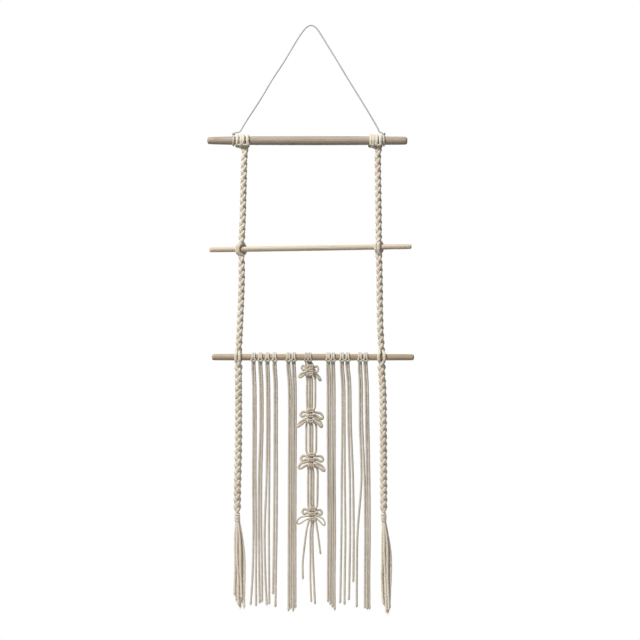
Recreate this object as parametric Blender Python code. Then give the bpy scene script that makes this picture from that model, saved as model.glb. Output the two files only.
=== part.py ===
"""A macrame wall hanging: three wooden dowels one above the other, joined by two plaited cords
that end in tassels, with a cord to hang it by and a fringe of knotted cotton on the lowest dowel.

The frame's origin is where the nail bears, under the top of the hanging cord. +X is to the right
as seen from the front, the front faces -Y and +Z is up. The numbers below are in millimetres.
"""

import math

import bmesh
import bpy
import numpy as np
from mathutils import Matrix, Vector

MM = 0.001
GAP = 0.3  # between neighbouring solids

# Dowels: middle of the length (x), height of the axis there (z), length, radius, end radius.
TOP_DOWEL = {"x": -5.5, "z": -172.0, "length": 300.0, "r": 6.8, "end_left": 5.0, "end_right": 5.8}
MIDDLE_DOWEL = {"x": -0.75, "z": -333.3, "length": 303.0, "r": 4.0, "end_left": 3.6, "end_right": 3.7}
BOTTOM_DOWEL = {"x": 3.0, "z": -496.8, "length": 303.0, "r": 5.0, "end_left": 4.6, "end_right": 4.6}
MIDDLE_TILT = math.radians(0.95)  # the middle dowel rises to the right
DOWEL_SIDES = 18

# Cords.
HANGER_D = 2.0
HANGER_ROUTE = (
    (-114.2, 0.0, -159.9),
    (-110.0, 0.0, -159.7),
    (-106.6, 0.0, -158.2),
    (-104.0, 0.0, -154.4),
    (-96.0, 0.0, -141.0),
    (-76.5, 0.0, -111.0),
    (-58.5, 0.0, -81.0),
    (-39.0, 0.0, -51.0),
    (-21.0, 0.0, -21.0),
    (-11.0, 0.0, -6.5),
    (-5.0, 0.0, -0.6),
    (0.0, 0.0, 1.0),
    (5.0, 0.0, -0.6),
    (10.6, 0.0, -6.5),
    (19.8, 0.0, -21.0),
    (38.3, 0.0, -51.0),
    (56.3, 0.0, -81.0),
    (75.0, 0.0, -111.0),
    (93.0, 0.0, -141.0),
    (100.2, 0.0, -153.6),
    (101.8, 0.0, -157.6),
    (104.4, 0.0, -159.7),
    (107.2, 0.0, -159.9),
)
CORD_D = 3.2  # the plaited cords
FRINGE_D = 2.9  # the fringe, drawn a little thinner by its own knots
CENTRE_D = 2.5  # the two cords of the centre drop
CURVE_SIDES_STEP = 2  # bevel_resolution: eight sides

# Lark's heads over the top dowel: middle of each knot, half the distance between its two legs,
# then where its two ends enter the plait.
LARK_HANG = 1.8
TOP_LARKS = {
    "left_outer_lark_head": (-108.5, 2.9, (-105.4, -102.0)),
    "left_inner_lark_head": (-99.0, 2.9, (-98.6, -95.2)),
    "right_inner_lark_head": (91.8, 2.3, (95.2, 98.6)),
    "right_outer_lark_head": (101.3, 2.9, (102.0, 105.4)),
}
TIE_X = {"left_hanger_tie": -116.2, "right_hanger_tie": 109.2}
TIE_WIDTH = 3.2
TIE_THICK = 2.2
TIE_KNOT_R = 2.1

# Plaits: half width, half depth, half a repeat of the plait, and how far its edges zigzag.
PLAIT_A = 4.7
PLAIT_B = 3.3
PLAIT_HALF_REPEAT = 5.7
PLAIT_ZIGZAG = 0.5
PLAIT_END_SIZE = 0.78  # a plait narrows where it meets a dowel's eye
PLAIT_TOP = -192.0
PLAIT_BULGE = 0.35  # how much wider a tail is just below the bottom dowel
EYE_HALF_WIDTH = 6.6
EYE_THICK = 3.2
PLAITS = {
    "left_upper_braid": ("upper_panel", ((-100.3, PLAIT_TOP), (-102.6, -291.0), (-104.1, -325.0))),
    "right_upper_braid": ("upper_panel", ((100.3, PLAIT_TOP), (101.4, -291.0), (101.3, -323.2))),
    "left_lower_braid": (
        "lower_panel",
        ((-104.1, -344.6), (-104.0, -381.0), (-106.2, -441.0), (-108.6, -487.6)),
    ),
    "right_lower_braid": (
        "lower_panel",
        ((101.4, -341.2), (102.6, -366.0), (103.6, -441.0), (105.7, -487.6)),
    ),
    "left_tail_braid": (
        "left_tail",
        ((-108.8, -506.0), (-108.8, -620.0), (-110.4, -700.0), (-110.6, -731.0)),
    ),
    "right_tail_braid": (
        "right_tail",
        ((105.8, -506.0), (108.0, -560.0), (108.8, -681.0), (108.9, -731.0)),
    ),
}
EYES = {
    "left_middle_eye": ("upper_panel", -104.7, "middle"),
    "right_middle_eye": ("upper_panel", 101.8, "middle"),
    "left_bottom_eye": ("lower_panel", -110.0, "bottom"),
    "right_bottom_eye": ("lower_panel", 106.0, "bottom"),
}

# Whippings and tassels: x, z at the top of the whipping, then the tassel's half widths by height.
NECK_R = 3.1
NECK_LENGTH = 10.6
WHIPPING_R = 4.5
WHIPPING_TURNS = 3
TAILS = {
    "left": {
        "x": -110.6,
        "z": -731.4,
        "tassel": (
            (-110.0, 3.8, -743.4),
            (-109.2, 4.6, -760.0),
            (-107.4, 7.2, -790.0),
            (-106.6, 8.6, -825.0),
            (-106.8, 8.7, -855.0),
            (-106.6, 7.0, -872.0),
        ),
    },
    "right": {
        "x": 108.9,
        "z": -731.4,
        "tassel": (
            (109.6, 3.4, -743.4),
            (111.2, 3.9, -760.0),
            (112.4, 7.6, -790.0),
            (112.6, 8.3, -825.0),
            (113.4, 7.4, -855.0),
            (114.4, 5.4, -881.0),
        ),
    },
}
TASSEL_FLATNESS = 0.62  # a tassel's depth over its width
TASSEL_THINNEST = 2.6

# The fringe: knot x, then for each of its two strands the x at each level and the height of its tip.
FRINGE_LEG = 2.3
FRINGE_HANG = 1.6
FRINGE_LEVELS = (-513.0, -540.0, -600.0, -680.0, -760.0, -825.0)
FRINGE = (
    (
        -86.1,
        (-87.7, -86.8, -86.4, -86.8, -86.3, -87.8, -90.6, -868.5),
        (-84.5, -83.4, -83.0, -83.2, -82.4, -82.6, -82.4, -870.0),
    ),
    (
        -75.8,
        (-77.4, -76.2, -76.0, -78.2, -78.4, -77.6, -77.0, -866.0),
        (-74.2, -72.9, -72.7, -74.6, -74.6, -73.4, -73.4, -864.0),
    ),
    (
        -65.3,
        (-66.9, -66.0, -65.7, -66.8, -69.6, -68.4, -66.4, -869.0),
        (-63.7, -62.7, -62.4, -62.7, -63.2, -62.8, -62.6, -867.0),
    ),
    (
        -54.5,
        (-56.1, -54.7, -54.6, -54.9, -55.6, -56.5, -57.0, -852.0),
        (-52.9, -51.4, -51.3, -51.2, -51.7, -52.8, -53.4, -871.5),
    ),
    (
        -33.8,
        (-35.4, -33.3, -32.9, -33.2, -33.4, -33.6, -33.6, -877.0),
        (-32.2, -29.9, -29.6, -29.9, -30.0, -30.1, -30.2, -874.0),
    ),
    (
        -25.8,
        (-27.4, -26.5, -26.2, -26.5, -26.7, -26.8, -26.8, -877.5),
        (-24.2, -23.1, -22.8, -23.2, -23.4, -23.4, -23.4, -873.0),
    ),
    (
        24.0,
        (24.3, 25.0, 25.1, 25.5, 26.0, 25.4, 25.6, -864.0),
        (27.6, 28.3, 28.4, 28.8, 29.3, 28.7, 28.9, -868.0),
    ),
    (
        33.0,
        (31.4, 31.7, 32.0, 32.1, 32.6, 32.0, 32.2, -872.0),
        (34.7, 35.2, 35.4, 35.4, 35.9, 35.3, 35.5, -876.0),
    ),
    (
        46.5,
        (44.9, 46.7, 46.9, 46.0, 45.6, 44.6, 43.8, -865.5),
        (48.1, 50.0, 50.3, 50.6, 51.5, 50.6, 50.2, -868.0),
    ),
    (
        54.8,
        (53.2, 55.5, 56.2, 58.2, 58.6, 57.6, 56.8, -861.0),
        (56.5, 58.9, 59.8, 63.0, 64.0, 63.6, 63.0, -834.0),
    ),
    (
        73.5,
        (71.9, 73.0, 73.4, 75.6, 69.8, 68.7, 68.6, -871.5),
        (75.2, 76.4, 77.0, 80.4, 81.2, 80.8, 80.8, -873.0),
    ),
    (
        81.9,
        (80.3, 81.7, 82.6, 84.0, 84.7, 84.1, 84.2, -875.0),
        (83.6, 85.1, 86.1, 87.5, 88.1, 87.4, 87.6, -875.0),
    ),
)
STRAND_SWAY = 0.7  # how far a strand wanders forwards and back

# The centre drop: two narrow lark's heads, four picot bows and the strands between them.
CENTRE_LARKS = {"centre_left_lark_head": -7.35, "centre_right_lark_head": -1.35}
CENTRE_LEG = 1.5
BOW_HALF_DEPTH = 4.2
LOOP_D = 2.6
LOOP_BASE = 1.6  # half the distance between a loop's two ends
LOOP_LEANS = (0.8, -0.2, -2.2, -2.2)  # how far back each loop lies, the two upper ones first
WORKER_BACK = 0.7  # the workers leave a bow behind its lower loops
# Each bow: middle x and z, half width, half height. Each loop: base x and z, tip x and z, half width.
BOWS = (
    (-2.3, -519.6, 5.2, 9.2, (
        (-2.4, 3, -13.8, 4.4, 3.2),
        (2.4, 3, 15.0, 4.4, 3.2),
        (-2.4, -4, -16.8, -6.4, 3.0),
        (2.4, -4, 16.4, -6.4, 3.2),
    )),
    (0.0, -588.0, 5.2, 10.0, (
        (-2.4, 4, -16.4, 5.2, 3.0),
        (2.4, 4, 18.6, 3.2, 3.6),
        (-2.4, -4, -18.6, -11.8, 2.8),
        (2.4, -4, 17.6, -12.6, 2.8),
    )),
    (0.8, -655.5, 5.4, 10.6, (
        (-2.4, 4, -16.4, 7.0, 3.0),
        (2.4, 4, 18.2, 6.2, 3.6),
        (-2.4, -4, -19.2, -6.6, 3.4),
        (2.4, -4, 19.8, -10.8, 4.2),
    )),
    (2.2, -733.5, 5.4, 11.2, (
        (-2.4, 4, -15.0, 5.8, 3.4),
        (2.4, 4, 15.8, 5.8, 3.4),
        (-2.4, -4, -20.6, -8.0, 3.4),
        (2.4, -4, 18.8, -10.0, 3.4),
    )),
)
# Stretches between bows: (left worker, fillers, right worker), each as x at the top and at the bottom.
STRETCHES = (
    ((-8.3, -7.0), (-3.0, -2.2), (3.9, 4.2)),
    ((-6.9, -6.2), (-1.8, -1.4), (4.2, 4.4)),
    ((-6.3, -3.9), (0.2, 1.6), (6.6, 6.9)),
)
WORKER_BOW = 1.2  # how far a worker stands off sideways in the middle of a stretch
CENTRE_TAILS = {
    "centre_tail_outer_left": (
        (-3.6, -1.2, -745.9),
        (-6.6, -1.4, -756.0),
        (-9.8, -0.9, -780.0),
        (-12.4, -0.4, -805.0),
        (-12.2, 0.0, -829.5),
    ),
    "centre_tail_inner_left": (
        (-0.6, 0.3, -745.9),
        (-1.0, 0.4, -760.0),
        (-0.8, 0.6, -790.0),
        (-0.9, 0.5, -830.0),
        (0.4, 0.3, -864.0),
    ),
    "centre_tail_inner_right": (
        (2.6, 0.3, -745.9),
        (2.3, 0.4, -760.0),
        (2.7, 0.6, -790.0),
        (4.2, 0.5, -830.0),
        (6.0, 0.3, -867.0),
    ),
    "centre_tail_outer_right": (
        (5.6, -1.2, -745.9),
        (9.4, -1.4, -756.0),
        (11.2, -0.9, -768.0),
        (12.8, -0.4, -780.0),
        (14.2, 0.0, -792.0),
    ),
}

# Bodies that move together: parent body and the point that the body turns about.
BODIES = {
    "hanger": (None, (0.0, 0.0, 0.0)),
    "top_dowel": ("hanger", (0.0, 0.0, TOP_DOWEL["z"])),
    "upper_panel": ("hanger", (0.0, 0.0, TOP_DOWEL["z"])),
    "middle_dowel": ("upper_panel", (MIDDLE_DOWEL["x"], 0.0, MIDDLE_DOWEL["z"])),
    "lower_panel": ("upper_panel", (MIDDLE_DOWEL["x"], 0.0, MIDDLE_DOWEL["z"])),
    "bottom_dowel": ("lower_panel", (0.0, 0.0, BOTTOM_DOWEL["z"])),
    "left_tail": ("lower_panel", (0.0, 0.0, BOTTOM_DOWEL["z"])),
    "right_tail": ("lower_panel", (0.0, 0.0, BOTTOM_DOWEL["z"])),
    "centre_drop": ("lower_panel", (0.0, 0.0, BOTTOM_DOWEL["z"])),
}
for number in range(1, len(FRINGE) + 1):
    BODIES[f"fringe_{number:02d}"] = ("lower_panel", (0.0, 0.0, BOTTOM_DOWEL["z"]))

# Colours (linear), roughness.
FINISHES = {
    "cotton": ((0.80, 0.72, 0.58), 0.9),
    "hanger_cotton": ((0.72, 0.69, 0.60), 0.85),
    "grey_brown_wood": ((0.42, 0.33, 0.25), 0.7),
    "pale_wood": ((0.62, 0.50, 0.37), 0.65),
    "tan_wood": ((0.52, 0.40, 0.28), 0.65),
}


def finish(piece, name):
    """One Principled material for each sub-part, named after it."""
    colour, roughness = FINISHES[name]
    made = bpy.data.materials.new(f"{piece}_{name}")
    made.use_nodes = True
    shader = made.node_tree.nodes["Principled BSDF"]
    shader.inputs["Base Color"].default_value = (*colour, 1.0)
    shader.inputs["Roughness"].default_value = roughness
    shader.inputs["Metallic"].default_value = 0.0
    return made


def make_bodies():
    """An empty on the joint of each moving body, under its parent's empty."""
    empties = {}
    for name, (parent, pivot) in BODIES.items():
        empty = bpy.data.objects.new(f"joint_of_{name}", None)
        bpy.context.scene.collection.objects.link(empty)
        place = Vector(pivot)
        if parent:
            empty.parent = empties[parent]
            place = place - Vector(BODIES[parent][1])
        empty.location = place * MM
        empties[name] = empty
    return empties


def attach(piece, body, finish_name):
    """Links a new object under its body's empty and gives it its material."""
    bpy.context.scene.collection.objects.link(piece)
    piece.parent = EMPTIES[body]
    piece.data.materials.append(finish(piece.name, finish_name))
    return piece


def local(points, body):
    """Points given in the frame, as metres from the body's own pivot."""
    return (np.asarray(points, float) - np.array(BODIES[body][1])) * MM


def smooth(points, count):
    """count points at even steps along the Catmull-Rom curve through the given points."""
    p = np.asarray(points, float)
    ends = np.vstack([2 * p[0] - p[1], p, 2 * p[-1] - p[-2]])
    t = np.linspace(0.0, 1.0, 12, endpoint=False)[:, None]
    fine = []
    for a, b, c, d in zip(ends, ends[1:], ends[2:], ends[3:]):
        square = (2 * a - 5 * b + 4 * c - d) * t**2
        cube = (3 * b - a - 3 * c + d) * t**3
        fine.append(0.5 * (2 * b + (c - a) * t + square + cube))
    fine = np.vstack([*fine, p[-1:]])
    run = np.concatenate([[0.0], np.cumsum(np.linalg.norm(np.diff(fine, axis=0), axis=1))])
    at = np.linspace(0.0, run[-1], count)
    return np.stack([np.interp(at, run, fine[:, axis]) for axis in range(3)], axis=1)


def cord(name, body, points, diameter, finish_name="cotton"):
    """A round cord: a poly curve through the points, with its ends filled."""
    curve = bpy.data.curves.new(name, "CURVE")
    curve.dimensions = "3D"
    curve.bevel_depth = diameter / 2 * MM
    curve.bevel_resolution = CURVE_SIDES_STEP
    curve.use_fill_caps = True
    spline = curve.splines.new("POLY")
    places = local(points, body)
    spline.points.add(len(places) - 1)
    for point, place in zip(spline.points, places):
        point.co = (*place, 1.0)
    return attach(bpy.data.objects.new(name, curve), body, finish_name)


def skin(name, grid, closed_along=False):
    """A closed mesh over a grid of rings. Its ends are capped, or joined into a loop."""
    shape = bmesh.new()
    rows = [[shape.verts.new(place) for place in ring] for ring in grid]
    pairs = list(zip(rows, rows[1:]))
    if closed_along:
        pairs.append((rows[-1], rows[0]))
    else:
        shape.faces.new(rows[0])
        shape.faces.new(rows[-1][::-1])
    for one, two in pairs:
        for k in range(len(one)):
            following = (k + 1) % len(one)
            shape.faces.new((one[k], two[k], two[following], one[following]))
    bmesh.ops.recalc_face_normals(shape, faces=shape.faces)
    mesh = bpy.data.meshes.new(name)
    shape.to_mesh(mesh)
    shape.free()
    mesh.shade_smooth()
    mesh.set_sharp_from_angle(angle=math.radians(50))
    return bpy.data.objects.new(name, mesh)


def helper(piece, body):
    """A shape that a Boolean adds to a sub-part, itself left out."""
    bpy.context.scene.collection.objects.link(piece)
    piece.parent = EMPTIES[body]
    piece.hide_render = True
    piece.display_type = "WIRE"
    return piece


def join_to(piece, other):
    """Unites a helper's shape with the piece."""
    union = piece.modifiers.new(f"with_{other.name}", "BOOLEAN")
    union.operation = "UNION"
    union.solver = "EXACT"
    union.object = other


def tube_rings(points, radius, sides):
    """Rings of a round tube along the points, each square to the run and turned as little as can be."""
    p = np.asarray(points, float)
    run = np.gradient(p, axis=0)
    run /= np.linalg.norm(run, axis=1)[:, None]
    across = np.cross(run[0], (0.0, 1.0, 0.05))
    turn = np.arange(sides) * 2 * math.pi / sides
    rings = []
    for place, ahead in zip(p, run):
        across = across - ahead * (across @ ahead)
        across = across / np.linalg.norm(across)
        up = np.cross(ahead, across)
        rings.append(place + radius * (np.cos(turn)[:, None] * across + np.sin(turn)[:, None] * up))
    return rings


def round_about_x(profile, centre_x, sides):
    """Rings about the X axis from (x, radius) pairs, with x from centre_x."""
    turn = np.arange(sides) * 2 * math.pi / sides
    circle = np.stack([np.zeros(sides), np.cos(turn), np.sin(turn)], axis=1)
    return [radius * circle + (x + centre_x, 0.0, 0.0) for x, radius in profile]


def oval(x, y, z, half_x, half_y, sides):
    """A level ring of points, with a flat side rather than a corner at its left and right."""
    turn = (np.arange(sides) + 0.5) * 2 * math.pi / sides
    return np.stack([x + half_x * np.cos(turn), y + half_y * np.sin(turn), np.full(sides, z)], axis=1)


def dowel(name, size, finish_name, tilt=0.0):
    """A turned stick with rounded ends, along X, standing at its own axis."""
    half = size["length"] / 2
    left, right, full = size["end_left"], size["end_right"], size["r"]
    profile = (
        (-half, left * 0.45),
        (-half + 0.8, left * 0.85),
        (-half + 2.4, left),
        (-half * 0.5, full * 0.985),
        (0.0, full),
        (half * 0.5, full * 0.99),
        (half - 2.4, right),
        (half - 0.8, right * 0.85),
        (half, right * 0.45),
    )
    offset = size["x"] - BODIES[name][1][0]
    rings = [ring * MM for ring in round_about_x(profile, offset, DOWEL_SIDES)]
    piece = attach(skin(name, rings), name, finish_name)
    piece.rotation_euler = (0.0, -tilt, 0.0)
    return piece


def middle_axis_z(x):
    """Height of the middle dowel's axis at x."""
    return MIDDLE_DOWEL["z"] + (x - MIDDLE_DOWEL["x"]) * math.tan(MIDDLE_TILT)


def band(name, body, place, inner, thick, half_width, tilt=0.0):
    """A closed band of cord round a dowel at place (x, z), rounded outside, turned about its axis."""
    w = half_width
    outer = inner + thick
    profile = (
        (-w + 0.6, inner),
        (w - 0.6, inner),
        (w, inner + 0.9),
        (w * 0.8, outer - 0.3),
        (0.0, outer),
        (-w * 0.8, outer - 0.3),
        (-w, inner + 0.9),
    )
    rings = [ring * MM for ring in round_about_x(profile, 0.0, DOWEL_SIDES)]
    piece = skin(name, rings, closed_along=True)
    middle = Matrix.Translation(Vector(local((place[0], 0.0, place[1]), body)))
    piece.data.transform(middle @ Matrix.Rotation(-tilt, 4, "Y"))
    return piece


def lark_half(side, x, axis_z, dowel_r, rope_r, leg, hang, steps):
    """Half of a lark's head, from its hanging end up behind the dowel, over it and down to the bar."""
    around = dowel_r + rope_r + 0.7
    points = [(x + side * hang, 0.6, axis_z - around - 1.4)]
    for angle in np.radians(np.linspace(40.0, 300.0, steps)):
        points.append((x + side * leg, around * math.sin(angle), axis_z - around * math.cos(angle)))
    out = around + 0.5
    points.append((x + side * leg * 0.72, -0.60 * out, axis_z - 0.80 * out))
    return points


def lark_head(x, axis_z, dowel_r, rope_r, leg, hang, steps):
    """Both halves of a lark's head, joined by the bar that lies across the dowel's front underside."""
    left = lark_half(-1, x, axis_z, dowel_r, rope_r, leg, hang, steps)
    right = lark_half(1, x, axis_z, dowel_r, rope_r, leg, hang, steps)
    out = dowel_r + rope_r + 1.9
    bar = (x, -0.574 * out, axis_z - 0.819 * out)
    return [*left, bar, *right[::-1]]


def make_dowels():
    dowel("top_dowel", TOP_DOWEL, "grey_brown_wood")
    dowel("middle_dowel", MIDDLE_DOWEL, "pale_wood", MIDDLE_TILT)
    dowel("bottom_dowel", BOTTOM_DOWEL, "tan_wood")


def make_hanger():
    """The hanging cord, and at each end the two turns that tie it to the top dowel."""
    cord("hanger_cord", "hanger", smooth(HANGER_ROUTE, 30), HANGER_D, "hanger_cotton")
    for name, x in TIE_X.items():
        inner = TOP_DOWEL["r"] + GAP
        tie = band(name, "hanger", (x, TOP_DOWEL["z"]), inner, TIE_THICK, TIE_WIDTH / 2)
        attach(tie, "hanger", "hanger_cotton")
        knot = bmesh.new()
        bmesh.ops.create_icosphere(knot, subdivisions=2, radius=TIE_KNOT_R * MM)
        bmesh.ops.scale(knot, vec=(0.72, 1.0, 0.85), verts=knot.verts)
        mesh = bpy.data.meshes.new(f"{name}_knot")
        knot.to_mesh(mesh)
        knot.free()
        ball = helper(bpy.data.objects.new(f"{name}_knot", mesh), "hanger")
        ball.location = Vector((x, 0.0, TOP_DOWEL["z"] + inner + TIE_THICK + TIE_KNOT_R * 0.7)) * MM
        join_to(tie, ball)


def make_top_larks():
    """Two lark's heads at each end of the top dowel, whose four ends start the plait."""
    for name, (x, leg, ends) in TOP_LARKS.items():
        knot = lark_head(x, TOP_DOWEL["z"], TOP_DOWEL["r"], CORD_D / 2, leg, LARK_HANG, 8)
        first, last = (
            [(end, 0.0, PLAIT_TOP + 3 * GAP), (end * 0.9 + start[0] * 0.1, 0.0, PLAIT_TOP + 3.4)]
            for end, start in zip(ends, (knot[0], knot[-1]))
        )
        cord(name, "upper_panel", [*first, *knot, *last[::-1]], CORD_D)


def plait_rings(route, neck):
    """Oval rings down a plait, whose edges lean left and right in turn."""
    length = np.linalg.norm(np.diff(np.asarray(route), axis=0), axis=1).sum()
    steps = max(4, round(length / PLAIT_HALF_REPEAT))
    centres = smooth([(x, 0.0, z) for x, z in route], steps + 1)
    rings = []
    for k, (x, y, z) in enumerate(centres):
        at_end = k in (0, steps)
        lean = 0.0 if at_end else PLAIT_ZIGZAG * (-1) ** k
        size = PLAIT_END_SIZE if at_end else 1.0
        wide = 1.0 + PLAIT_BULGE * math.exp(-((k - 1.5) ** 2)) if neck else 1.0
        rings.append(oval(x + lean, y, z, PLAIT_A * size * wide, PLAIT_B * size, 8))
    if neck:
        x, y, z = centres[-1]
        rings += [oval(x, y, z - depth, NECK_R, NECK_R * 0.9, 8) for depth in (0.4, NECK_LENGTH)]
    return rings


def make_plaits():
    for name, (body, route) in PLAITS.items():
        rings = plait_rings(route, neck="tail" in name)
        attach(skin(name, [local(ring, body) for ring in rings]), body, "cotton")
    for name, (body, x, which) in EYES.items():
        middle = which == "middle"
        size = MIDDLE_DOWEL if middle else BOTTOM_DOWEL
        axis_z = middle_axis_z(x) if middle else size["z"]
        tilt = MIDDLE_TILT if middle else 0.0
        made = band(name, body, (x, axis_z), size["r"] + GAP, EYE_THICK, EYE_HALF_WIDTH, tilt)
        attach(made, body, "cotton")


def make_tails():
    """A whipping of a few turns round the neck of each tail, and the tassel below it."""
    for side, tail in TAILS.items():
        body = f"{side}_tail"
        pitch = (NECK_LENGTH - 1.2) / WHIPPING_TURNS
        bottom = 0.8 - NECK_LENGTH
        hollow = WHIPPING_R - 0.5
        profile = [(NECK_R + GAP, -0.4), (NECK_R + GAP, bottom)]
        for k in range(WHIPPING_TURNS):
            low = bottom + k * pitch
            profile += [(hollow, low + 0.3), (WHIPPING_R, low + pitch * 0.5)]
        profile.append((hollow, -0.6))
        rings = [oval(tail["x"], 0.0, tail["z"] + z, r, r * 0.95, 12) for r, z in profile]
        made = skin(f"{side}_whipping", [local(ring, body) for ring in rings], closed_along=True)
        attach(made, body, "cotton")
        rings = []
        for x, half, z in tail["tassel"]:
            rings.append(oval(x, 0.0, z, half, max(TASSEL_THINNEST, half * TASSEL_FLATNESS), 12))
        attach(skin(f"{side}_tassel", [local(ring, body) for ring in rings]), body, "cotton")


def strand(levels, phase):
    """A hanging strand from below its knot down to its tip, wandering a little forwards and back."""
    *across, tip = levels
    heights = [*FRINGE_LEVELS, tip]
    points = []
    for x, z in zip(across, heights):
        y = STRAND_SWAY * math.sin(z / 45.0 + phase) * min(1.0, (FRINGE_LEVELS[0] - z) / 40.0)
        points.append((x, y, z))
    return smooth(points, 7)


def make_fringe():
    """Cords folded in half and hung on the bottom dowel by a lark's head, one body each."""
    for number, (x, left, right) in enumerate(FRINGE, 1):
        leg = FRINGE_LEG
        knot = lark_head(x, BOTTOM_DOWEL["z"], BOTTOM_DOWEL["r"], FRINGE_D / 2, leg, FRINGE_HANG, 6)
        points = [*strand(left, number)[::-1], *knot, *strand(right, number + 2.0)]
        cord(f"fringe_cord_{number:02d}", f"fringe_{number:02d}", points, FRINGE_D)


def leaf(base, tip, half_width, count=10):
    """A loop that leaves its base, rounds its tip and comes back beside where it left."""
    base, tip = np.array(base, float), np.array(tip, float)
    ahead = tip - base
    side = np.array([-ahead[2], 0.0, ahead[0]]) / np.linalg.norm(ahead)
    s = np.linspace(0.0, 1.0, count)[:, None]
    spread = half_width * np.sin(2 * math.pi * s) + LOOP_BASE * np.cos(math.pi * s)
    return base + ahead * np.sin(math.pi * s) ** 0.8 + side * spread


def make_bow(number, body, middle, half_width, half_height, loops):
    """A knot of many turns, rounded at its ends, with a picot loop at each corner."""
    x, z = middle
    rings = []
    for lift in (-1.0, -0.8, 0.0, 0.8, 1.0):
        swell = max(0.42, math.sqrt(1 - lift**2))
        rings.append(oval(x, 0.0, z + lift * half_height, half_width * swell, BOW_HALF_DEPTH * swell, 10))
    bow = attach(skin(f"picot_bow_{number}", [local(ring, body) for ring in rings]), body, "cotton")
    for lean, (base_x, base_z, tip_x, tip_z, wide) in zip(LOOP_LEANS, loops):
        path = leaf((x + base_x, lean, z + base_z), (x + tip_x, lean - 0.4, z + tip_z), wide)
        tube = [local(ring, body) for ring in tube_rings(path, LOOP_D / 2, 6)]
        join_to(bow, helper(skin(f"bow_{number}_loop", tube), body))


def make_stretch(number, body, columns):
    """The two workers and the pair of fillers between one bow and the next."""
    upper, lower = BOWS[number - 1], BOWS[number]
    z_top = upper[1] - upper[3] - GAP
    z_low = lower[1] + lower[3] + GAP
    names = (f"centre_left_worker_{number}", f"centre_fillers_{number}", f"centre_right_worker_{number}")
    for name, (x_top, x_low), out in zip(names, columns, (-WORKER_BOW, 0.0, WORKER_BOW)):
        path = []
        for share in (0.0, 0.15, 0.5, 0.85, 1.0):
            x = x_top + (x_low - x_top) * share + out * math.sin(math.pi * share)
            path.append((x, WORKER_BACK if out else 0.0, z_top + (z_low - z_top) * share))
        if out:
            cord(name, body, smooth(path, 6), CENTRE_D)
            continue
        rings = [oval(x, y, z, CENTRE_D, CENTRE_D / 2, 8) for x, y, z in path]
        attach(skin(name, [local(ring, body) for ring in rings]), body, "cotton")


def make_centre():
    """The centre drop: two cords knotted in four bows with picot loops, then their four ends."""
    body = "centre_drop"
    top = BOWS[0][1] + BOWS[0][3] + GAP
    axis_z, dowel_r = BOTTOM_DOWEL["z"], BOTTOM_DOWEL["r"]
    for name, x in CENTRE_LARKS.items():
        knot = lark_head(x, axis_z, dowel_r, CENTRE_D / 2, CENTRE_LEG, CENTRE_LEG, 6)
        left, right = ((x + side * CENTRE_LEG * 0.95, 0.2, top + 0.2) for side in (-1, 1))
        cord(name, body, [left, *knot, right], CENTRE_D)
    for number, (x, z, half_width, half_height, loops) in enumerate(BOWS, 1):
        make_bow(number, body, (x, z), half_width, half_height, loops)
    for number, columns in enumerate(STRETCHES, 1):
        make_stretch(number, body, columns)
    for name, route in CENTRE_TAILS.items():
        cord(name, body, smooth(route, 9), CENTRE_D)


for old in list(bpy.data.objects):
    bpy.data.objects.remove(old)
EMPTIES = make_bodies()
make_dowels()
make_hanger()
make_top_larks()
make_plaits()
make_tails()
make_fringe()
make_centre()
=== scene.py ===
"""A macrame wall hanging, made as its maker would: three turned sticks, a hanging cord tied to the top
one, two side cords that are plaited from stick to stick and end in tassels, a fringe of folded cords
looped on the bottom stick, and a centre drop of bows.

Lengths are in millimetres until a mesh is built; MM turns them into the frame's metres.
The front faces -Y, and the nail bears at the origin."""

import math

import bpy
import numpy as np
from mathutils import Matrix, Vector


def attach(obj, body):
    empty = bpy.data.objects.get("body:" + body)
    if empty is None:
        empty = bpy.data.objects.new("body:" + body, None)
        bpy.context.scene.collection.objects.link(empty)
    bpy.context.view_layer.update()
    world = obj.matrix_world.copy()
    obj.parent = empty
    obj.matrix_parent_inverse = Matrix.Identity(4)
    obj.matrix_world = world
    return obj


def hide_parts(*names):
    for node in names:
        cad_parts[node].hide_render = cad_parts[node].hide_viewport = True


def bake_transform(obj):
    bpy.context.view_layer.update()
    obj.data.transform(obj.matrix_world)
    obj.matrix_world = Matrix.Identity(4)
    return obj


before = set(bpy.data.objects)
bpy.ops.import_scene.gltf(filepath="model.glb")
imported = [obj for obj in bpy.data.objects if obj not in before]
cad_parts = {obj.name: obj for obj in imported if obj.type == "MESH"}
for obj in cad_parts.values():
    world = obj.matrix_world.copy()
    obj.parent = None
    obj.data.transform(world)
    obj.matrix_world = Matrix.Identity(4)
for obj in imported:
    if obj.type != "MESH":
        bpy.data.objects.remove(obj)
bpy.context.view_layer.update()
MM = 0.001
TURN = 2 * math.pi
CHANCE = np.random.default_rng(11)

# -------------------------------- sizes

TOP = {"x": -5.5, "z": -172.0, "long": 300.0, "r": 6.8, "left": 5.0, "right": 5.8}
MIDDLE = {"x": -0.75, "z": -333.3, "long": 303.0, "r": 4.0, "left": 3.6, "right": 3.7}
BOTTOM = {"x": 3.0, "z": -496.8, "long": 303.0, "r": 5.0, "left": 4.6, "right": 4.6}
MIDDLE_TILT = math.radians(0.95)

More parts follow.
